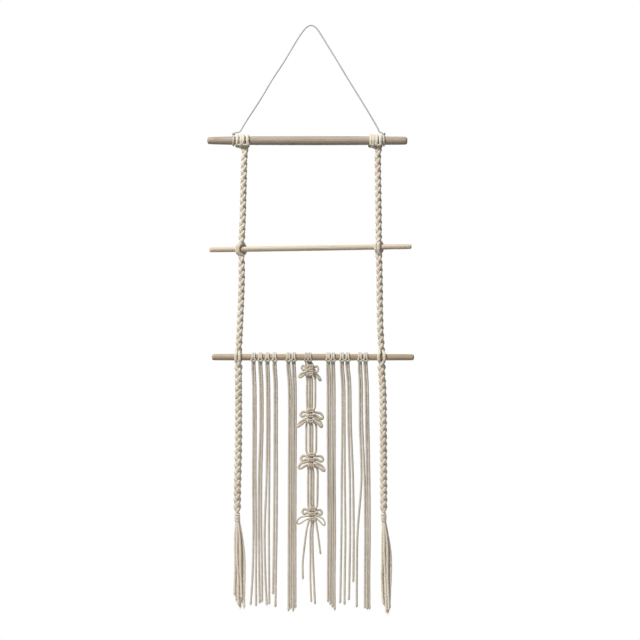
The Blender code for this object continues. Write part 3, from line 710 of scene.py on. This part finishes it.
def make_stick(name, size, finish, tilt=0.0):
    """A turned stick: its radius goes from the ends' to the middle's by the root of a half sine, with
    three faint waves, and its ends round off by a quarter circle; it is turned by the tilt."""
    half = size["long"] / 2
    quarter = np.linspace(0.0, 1.0, 7)[1:] * math.pi / 2
    tip = size["left"] * 0.62
    rings = 150
    inner = np.linspace(tip - half, half - tip, rings)
    x = np.concatenate([tip - half - tip * np.sin(quarter)[::-1], inner, half - tip + tip * np.sin(quarter)])
    lost = tip * (1 - np.concatenate([np.cos(quarter)[::-1], np.ones(rings), np.cos(quarter)]))
    share = (x + half) / size["long"]
    ends = size["left"] + (size["right"] - size["left"]) * share
    radius = ends + (size["r"] - ends) * np.sin(math.pi * np.clip(share, 0, 1)) ** 0.5
    waves = np.sin(x / 7.0) + np.sin(x / 17.0 + 1) + np.sin(x / 3.1 + 2)
    radius = radius * (1 + 0.004 * waves) - lost
    turn = np.arange(48) * TURN / 48
    y, z = radius[:, None] * np.cos(turn), -radius[:, None] * np.sin(turn)
    along = x[:, None] + 0 * y
    right = size["x"] + along * math.cos(tilt) - z * math.sin(tilt)
    up = size["z"] + along * math.sin(tilt) + z * math.cos(tilt)
    node = f"{name}_dowel"
    skin = (np.stack([right, y, up], axis=-1), x, 0 * y)
    make_piece(f"{name}_stick", [skin], finish, node, [node])


# -------------------------------- lark's heads


def head_half(side, x, axis_z, stick_r, leg, bar, hang, ahead, wide, thick):
    """Half of a lark's head, from the middle of its bar to its hanging end: along the bar under the
    stick's front, up the front, over the top, down the back, and forward under the stick behind the
    bar as far as `ahead`. Angles are about the stick, in degrees from straight down by way of the back."""
    hug = stick_r + thick
    course = (
        (0.0, 318, hug + 1.5),
        (bar * 0.5, 318, hug + 1.5),
        (bar * 0.92, 315, hug + 1.25),
        (bar * 1.02, 306, hug + 0.9),
        (leg + (bar - leg) * 0.3, 293, hug + 0.25),
        (leg, 268, hug + 0.05),
        (leg, 225, hug),
        (leg, 180, hug),
        (leg, 135, hug),
        (leg, 95, hug),
        (leg, 60, hug),
        ((leg + hang) / 2, 30, hug + 0.1),
        (hang, ahead, hug + 0.3),
    )
    rows = []
    for across, angle, radius in course:
        a, facing = math.radians(angle), math.radians(max(angle, 62))
        y, z = radius * math.sin(a), axis_z - radius * math.cos(a)
        rows.append((x + side * across, y, z, 0.0, math.sin(facing), -math.cos(facing), wide, thick))
    return rows


# -------------------------------- hanging cord


def make_hanging_cord():
    """The thin cord over the nail, and at each end two slanting turns round the stick and a knot on top
    of them, which follows sin t + 2 sin 2t, cos t - 2 cos 2t, -sin 3t."""
    half = HANGER_D * 0.57
    rows = least_turned(HANGER_ROUTE, 0.8, wide=half, thick=half)
    skin = laid_cord(rows, lay=7.0, groove=0.06)
    cord = make_piece("hanging_cord", [skin], HANGER_COTTON, "hanger", ["hanger_cord"])
    free_cord(rows[:, :3])
    for side, x in TIES.items():
        inward = 1 if side == "left" else -1
        t = np.linspace(0.0, 1.0, 90)
        angle = (t * TIE_TURNS + TIE_START) * TURN
        radius = TOP["r"] - 0.2 + HANGER_D / 2
        coil = [x + inward * (1.1 - 2.2 * t), radius * np.sin(angle), TOP["z"] - radius * np.cos(angle)]
        t = np.linspace(0.0, TURN * 0.98, 60)
        knot = [
            x + KNOT_SIZE * (np.sin(t) + 2 * np.sin(2 * t)),
            KNOT_SIZE * (np.cos(t) - 2 * np.cos(2 * t)),
            TOP["z"] + TOP["r"] + 3.4 - 1.05 * np.sin(3 * t),
        ]
        lines = [least_turned(np.stack(line, axis=1), 0.5, wide=0.95, thick=0.95) for line in (coil, knot)]
        skins = [laid_cord(line, lay=7.0, groove=0.1) for line in lines]
        name = f"{side}_hanger_tie"
        make_piece(name, skins, HANGER_COTTON, "hanger", [name])


# -------------------------------- side cords


def plait_phase(z):
    """How far round the plait's strands have gone at each height: a quarter turn for each working, and
    none where the plait opens round a stick, with the changes rounded off over 5 mm."""
    heights, turns = [0.0], [math.pi / 4]
    for top, foot, quarters in PLAIT_STAGES:
        heights += [-top, -foot]
        turns += [turns[-1], turns[-1] + quarters * math.pi / 2]
    return np.interp(np.linspace(-2.5, 2.5, 11)[:, None] - z, heights, turns).mean(axis=0)


def stick_height(side, size, tilt):
    """The height of a stick's middle where one side's plait passes it."""
    return size["z"] + (SIDE_ROUTE[side][BELOW_MIDDLE][0] - size["x"]) * math.tan(tilt)


def plait_strand(side, number, z):
    """One of a round plait's four strands at the heights z, as rows of a cord.

    Two strands go round one way and two the other, half a turn apart. Each passes over the one it
    meets, then under the next, so its distance from the plait's line is R + d cos(2a) for one pair and
    R - d cos(2a) for the other, where a is how far round it has gone. Its turning is uneven by
    u sin(2a), forwards for one pair and backwards for the other, which makes its leaves steep. R, d and
    u are STRAND_REACH, STRAND_STRAY and UNEVEN_TURN. Where the plait opens round a stick, two strands
    pass in front of the stick at their own x, and two behind."""
    way = (-1, 1)[number % 2]
    turned = way * plait_phase(z) + number // 2 * math.pi
    angle = turned + way * UNEVEN_TURN * np.sin(2 * turned)
    facing = np.array(PLAIT_FACING[side], float)
    view = angle + np.radians(np.interp(-z, -facing[:, 0], facing[:, 1]))
    route = through(SIDE_LINE[side], 2.0)
    middle = np.interp(-z, -route[:, 2], route[:, 0])
    fuller = TAIL_FULLER * np.exp(-(((z - SWELLS_AT) / SWELLS_OVER) ** 2))
    grow = 1.0 + TAIL_FULLER * ease(z, *TAIL_GROWS) + fuller
    neck = ease(z, *NECK_DRAWN_IN)
    reach = STRAND_REACH - way * STRAND_STRAY * np.cos(2 * turned)
    reach = reach * grow * (1 - neck) + NECK_REACH * neck
    out_x, out_y = np.sin(view), -np.cos(view)
    x, y = middle + reach * out_x, reach * out_y
    opened = 1.0
    for which, size, tilt in (("middle", MIDDLE, MIDDLE_TILT), ("bottom", BOTTOM, 0.0)):
        axis_z = stick_height(side, size, tilt)
        at = np.interp(axis_z, z[::-1], angle[::-1])
        front = -1 if math.cos(at) > 0 else 1
        target = OPENINGS[side][which][0 if front < 0 else 1][1 if math.sin(at) > 0 else 0]
        share = ease(np.abs(z - axis_z), *OPENS_OVER)
        x = x * (1 - share) + target * share
        y = y * (1 - share) + (size["r"] + OFF_WOOD) * front * share
        out_x = out_x * (1 - share)
        out_y = out_y * (1 - share) + front * share
        opened = opened * (1 - OPEN_NARROWER * share)
    wide = (STRAND_HALF_WIDTH - NECK_NARROWER * neck) * (1 + TAIL_WIDER * ease(z, *TAIL_GROWS)) * opened
    thick = STRAND_HALF_THICKNESS - NECK_THINNER * neck
    return np.column_stack([x, y, z, out_x, out_y, 0 * z, wide, thick])


def side_half(side, sign, head, number):
    """A side cord from the middle of its lark's head's bar down through the plait to the neck. The flat
    side keeps the stick's side of it, so a strand that starts in front is told with its inside out."""
    _, x, leg, bar = head
    plait = plait_strand(side, number, -np.arange(-PLAIT_TOP, -PLAIT_FOOT, 0.35))
    plait[:, 3:6] *= 1 if plait[0, 4] > 0 else -1
    outside = (sign < 0) == (x < SIDE_ROUTE[side][1][0])
    hang, ahead = (4.2, 20) if outside else (1.4, -14)
    lead = head_half(sign, x, TOP["z"], TOP["r"], leg, bar, hang, ahead, wide=2.3, thick=1.4)
    between = np.array(lead[-1]) * 0.45 + plait[0] * 0.55
    between[2] = -181.6
    lead = through([*lead, between, plait[0], plait[9]], 0.6)
    return evenly(np.vstack([lead[lead[:, 2] > plait[0, 2] + 0.3], plait]), 0.85)


def tassel_strand(side, across, depth, tip, number):
    """A tassel strand from the neck to its tip, at its own place across a tassel that widens and
    narrows with height; each wanders by a slow sine of its own."""
    table = np.array(TASSELS[side])
    z = np.append(np.linspace(-738.0, tip + 9.0, 9), tip)
    middle = np.interp(-z, -table[:, 2], table[:, 0])
    half = np.interp(-z, -table[:, 2], table[:, 1])
    loose = ease(z, -748, -790)
    x = middle + across * np.maximum(half - 1.3, 0.6) + 0.8 * np.sin(z / 19.0 + number * 1.9) * loose
    y = depth * np.clip(half * 0.5, 1.2, 3.4) + 0.6 * np.sin(z / 23.0 + number) * loose
    return least_turned(np.stack([x, y, z], axis=1), 0.9, wide=1.75, thick=1.5)


def make_plait(side):
    """One side's plait. Two cords start as lark's heads on the top stick, and their four ends are
    plaited. The cords are cut inside the plait, where both lengths share a ring: the first length rides
    with the upper panel, the next lies round the middle stick, and the last round the bottom stick."""
    left_first = sorted(range(4), key=lambda k: math.sin((-1, 1)[k % 2] * math.pi / 4 + k // 2 * math.pi))
    across_middle, across_bottom = [], []
    for head, pair in zip(HEADS[side], (left_first[:2], left_first[2:])):
        one, two = (side_half(side, sign, head, number) for sign, number in zip((-1, 1), pair))
        rows = joined(one, two)
        skin = laid_cord(rows, lay=60.0, groove=0.09, sides=20)
        last = len(rows) - 1
        a, b = (int((half[:, 2] < UPPER_CUT).sum()) for half in (one, two))
        c, d = (int((half[:, 2] < LOWER_CUT).sum()) for half in (one, two))
        name = f"{side}_{head[0]}"
        node = f"{name}_lark_head"
        stands_for = [node, f"{side}_upper_braid"]
        top = [part_of(skin, a, last - b)]
        make_piece(f"{name}_top_cord", top, SIDE_COTTON, "upper_panel", stands_for)
        across_middle += [part_of(skin, c, a), part_of(skin, last - b, last - d)]
        across_bottom += [part_of(skin, 0, c), part_of(skin, last - d, last)]
    node = f"{side}_lower_braid"
    stands_for = [f"{side}_middle_eye", node]
    name = f"{side}_plait_at_middle_stick"
    middle = make_piece(name, across_middle, SIDE_COTTON, stands_for=stands_for)
    axis = stick_height(side, MIDDLE, MIDDLE_TILT) * MM
    axis + BEND
    axis - BEND
    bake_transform(middle)
    node = f"{side}_tail_braid"
    stands_for = [f"{side}_bottom_eye", node]
    tail = make_piece(f"{side}_tail_plait", across_bottom, SIDE_COTTON, stands_for=stands_for)
    axis = BOTTOM["z"] * MM
    axis + BEND
    axis - BEND
    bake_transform(tail)


def make_whipping(side):
    """The cord wound round the foot of one side's tail: a coil on an oval, whose turns rise and fall
    by a slow sine."""
    t = np.linspace(0.0, 1.0, 100)
    angle, neck_x = t * TURN * WHIPPING_TURNS + 0.6, SIDE_ROUTE[side][-1][0]
    rise = NECK_TOP + (NECK_FOOT - NECK_TOP) * t + 0.5 * np.sin(angle * 0.5)
    coil = np.stack([neck_x + 3.15 * np.cos(angle), 3.05 * np.sin(angle), rise], axis=1)
    skin = laid_cord(least_turned(coil, 0.6, wide=1.4, thick=1.4), lay=30.0, groove=0.08)
    node = f"{side}_whipping"
    make_piece(node, [skin], SIDE_COTTON, f"{side}_tail", [node])


def make_tassel(side):
    """The free strands below one side's whipping, each with its frayed tip."""
    skins = []
    for number, (across, depth, tip) in enumerate(TASSEL_STRANDS[side]):
        rows = tassel_strand(side, across, depth, tip, number)
        strand = cut_end(laid_cord(rows, lay=40.0, groove=0.12, sides=14))
        skins += [strand, *loose_fibres(strand, count=10, reach=4.0)]
    node = f"{side}_tassel"
    make_piece(node, skins, SIDE_COTTON, f"{side}_tail", [node])


# -------------------------------- fringe


def fringe_half(x, sign, levels, phase):
    """Half of a fringe cord: from the bar of its lark's head down to the tip of one strand, which
    wanders forwards and back by a slow sine."""
    *across, tip = levels
    z = np.array([*FRINGE_LEVELS, tip])
    y = STRAND_SWAY * np.sin(z / 45.0 + phase) * np.minimum(1.0, (FRINGE_LEVELS[0] - z) / 40.0)
    y[0] = -1.3
    hanging = [(*place, 0.0, 1.0, 0.0, 1.68, 1.5) for place in zip(across, y, z)]
    stick = (BOTTOM["z"], BOTTOM["r"])
    lead = head_half(sign, x, *stick, leg=1.5, bar=3.2, hang=1.55, ahead=-16, wide=1.5, thick=1.3)
    return evenly(through([*lead, *hanging], 0.5), 1.0)


def make_fringe():
    """Cords folded in half and looped on the bottom stick. Each is cut just below its knot, where the
    two hanging strands start. A knot whose strands would both hang to its right sits over them."""
    for number, (x, left, right) in enumerate(FRINGE, 1):
        if left[0] > x:
            x = (left[0] + right[0]) / 2
        one, two = fringe_half(x, -1, left, number), fringe_half(x, 1, right, number + 2.0)
        rows = joined(one, two)
        skin = laid_cord(rows, lay=42.0, groove=0.08)
        last = len(rows) - 1
        a, b = (int((half[:, 2] < FRINGE_CUT).sum()) for half in (one, two))
        body, node = f"fringe_{number:02d}", f"fringe_cord_{number:02d}"
        knot = [part_of(skin, a, last - b)]
        make_piece(f"fringe_knot_{number:02d}", knot, LIT_KNOT_COTTON, body, [node])
        strands = (
            ("left", turned_round(part_of(skin, 0, a)), rows[: a + 1, :3][::-1]),
            ("right", part_of(skin, last - b, last), rows[last - b :, :3]),
        )
        for name, strand, path in strands:
            strand = cut_end(strand)
            skins = [strand, *loose_fibres(strand)]
            piece = make_piece(f"fringe_strand_{number:02d}_{name}", skins, FRINGE_COTTON, body, [node])
            free_cord(path)


# -------------------------------- centre drop

# A square knot, from the way into it to the way out: the worker that crosses in front twice, and the
# one that goes behind twice and holds the first at the side.
FRONT_WORKER = (
    (-5.4, -1.0, 0.6), (-2.9, -2.9, 1.7), (0.0, -3.5, 2.1), (2.7, -3.0, 1.5), (4.4, -1.6, 0.8),
    (4.9, -0.2, 0.0), (4.4, -1.6, -1.2), (2.6, -2.9, -1.0), (0.0, -3.3, -0.9), (-2.9, -2.8, -1.5),
    (-5.4, -1.0, -2.6),
)
BACK_WORKER = (
    (4.6, -2.6, 1.9), (3.2, -3.3, 1.1), (2.6, -0.6, 0.2), (2.0, 1.8, 0.8), (0.0, 2.5, 1.4),
    (-2.4, 1.9, 1.9), (-3.9, -0.2, 2.2), (-3.7, -3.2, 1.2), (-3.5, -3.9, 0.0), (-3.7, -3.2, -1.2),
    (-3.9, -0.2, -2.2), (-2.4, 1.9, -1.9), (0.0, 2.5, -1.4), (2.0, 1.8, -0.8), (2.6, -0.6, -0.2),
    (3.2, -3.3, -1.1), (4.6, -2.6, -1.9),
)


def picot(start, end, tip, half_height, back):
    """The points of a loop that leaves one knot, rounds its tip and comes back to the knot below: out
    along its top, round the tip by a half circle drawn out to half_height, and back underneath."""
    start, end, tip = (np.array(place, float) for place in (start, end, tip))
    side = np.sign(tip[0] - start[0])
    up = np.array([0.0, half_height])
    flat = [
        start * 0.62 + tip * 0.38 + up * 0.55,
        start * 0.26 + tip * 0.74 + up,
        tip + (-side * 0.8, half_height * 0.62),
        tip,
        tip + (-side * 1.0, -half_height * 0.68),
        end * 0.30 + tip * 0.70 - up * 0.92,
        end * 0.66 + tip * 0.34 - up * 0.35,
    ]
    depth = back + 0.9 * np.array([0.2, 1.0, 0.6, 0.0, -0.6, -1.0, -0.4])
    flat = np.array(flat)
    return np.column_stack([flat[:, 0], depth, flat[:, 1]])


def worker_line(sign):
    """The points that one worker follows from the lark's heads down to its tip, each with half the
    width of the cord there. It stands off sideways between the bows by a half sine."""
    knot = np.array(FRONT_WORKER if sign < 0 else BACK_WORKER)
    in_knot, in_stretch, in_end = WORKER_HALF["knot"], WORKER_HALF["stretch"], WORKER_HALF["end"]
    points = []
    for number, (x, heights, loops) in enumerate(BOWS):
        for turn, z in enumerate(heights):
            points.append(np.column_stack([knot + (x, 0.0, z), np.full(len(knot), in_knot)]))
            if turn < 2:
                tip_x, tip_z, half_height, back, half = loops[turn * 2 + (sign > 0)]
                start, end = (x + sign * 5.0, z - 1.9), (x + sign * 5.0, heights[turn + 1] + 1.9)
                loop = picot(start, end, (tip_x, tip_z), half_height, back)
                points.append(np.column_stack([loop, np.full(len(loop), half)]))
        if number < 3:
            top, low = STRETCHES[number][0 if sign < 0 else 1]
            share = np.array([0.02, 0.3, 0.7, 0.98])
            across = top + (low - top) * share + sign * WORKER_BOW * np.sin(math.pi * share)
            start, end = heights[2] - 5.0, BOWS[number + 1][1][0] + 5.0
            drop = [across, 0.4 + 0 * share, start + (end - start) * share, in_stretch + 0 * share]
            points.append(np.column_stack(drop))
    tail = CENTRE_TAILS["outer_left" if sign < 0 else "outer_right"]
    return np.vstack([*points, [(*place, in_end) for place in tail]])


def filler_line(sign):
    """The points that one filler follows, each with half the width of the cord there: straight through
    the knots, side by side with the other."""
    in_knot, in_stretch, in_end = FILLER_HALF["knot"], FILLER_HALF["stretch"], FILLER_HALF["end"]
    points = []
    for number, (x, heights, _) in enumerate(BOWS):
        for z in np.linspace(heights[0] + 3.0, heights[2] - 3.0, 5):
            points.append((x + sign * in_knot, 0.0, z, in_knot))
        if number < 3:
            top, low = STRETCHES[number][2]
            start, end = heights[2] - 3.0, BOWS[number + 1][1][0] + 3.0
            for share in (0.12, 0.5, 0.88):
                across = top + (low - top) * share + sign * in_stretch
                points.append((across, 0.25 * sign, start + (end - start) * share, in_stretch))
    tail = CENTRE_TAILS["inner_left" if sign < 0 else "inner_right"]
    return np.vstack([points, [(*place, in_end) for place in tail]])


def make_centre():
    """Two cords looped on the bottom stick. Their inner ends hang straight as fillers, and their outer
    ends are tied round them in square knots, three to a bow, with a pair of loops after the first and
    the second. The four ends below the last bow are pieces of their own."""
    for side, x in zip(("left", "right"), CENTRE_HEADS):
        halves = []
        for sign in (-1, 1):
            outer = (side == "left") == (sign < 0)
            line = worker_line(sign) if outer else filler_line(-sign)
            stick, leg = (BOTTOM["z"], BOTTOM["r"]), CENTRE_D / 2
            head = head_half(sign, x, *stick, leg, bar=2.3, hang=1.3, ahead=-14, wide=1.2, thick=1.15)
            halves.append(np.vstack([[(*row[:3], HEAD_HALF) for row in head], line]))
        points = np.vstack([halves[0][::-1], halves[1][1:]])
        rows = least_turned(points, 0.62, wide=1.0, thick=0.92)
        skin = laid_cord(rows, lay=40.0, groove=0.08, sides=14)
        low, last = rows[:, 2] < CENTRE_CUT, len(rows) - 1
        a, b = int(np.argmin(low)), last - int(np.argmin(low[::-1]))
        bows = [f"picot_bow_{n}" for n in (1, 2, 3, 4)]
        runs = [f"centre_{side}_worker_{n}" for n in (1, 2, 3)] + [f"centre_fillers_{n}" for n in (1, 2, 3)]
        node, body = f"centre_{side}_lark_head", "centre_drop"
        stands_for = [node, *bows, *runs]
        make_piece(f"centre_{side}_cord", [part_of(skin, a, b)], CENTRE_COTTON, body, stands_for)
        places = ("outer_left", "inner_left") if side == "left" else ("inner_right", "outer_right")
        strands = (
            (turned_round(part_of(skin, 0, a)), rows[: a + 1, :3][::-1]),
            (part_of(skin, b, last), rows[b:, :3]),
        )
        for place, (strand, path) in zip(places, strands):
            strand = cut_end(strand)
            node = f"centre_tail_{place}"
            skins = [strand, *loose_fibres(strand)]
            piece = make_piece(f"centre_end_{place}", skins, CENTRE_COTTON, body, [node])
            free_cord(path)


look_from_the_front()
make_hanging_cord()
make_fringe()
make_centre()
for side in ("left", "right"):
    make_plait(side)
    make_whipping(side)
    make_tassel(side)
make_stick("top", TOP, TOP_WOOD)
make_stick("middle", MIDDLE, MIDDLE_WOOD, MIDDLE_TILT)
make_stick("bottom", BOTTOM, BOTTOM_WOOD)
studio()
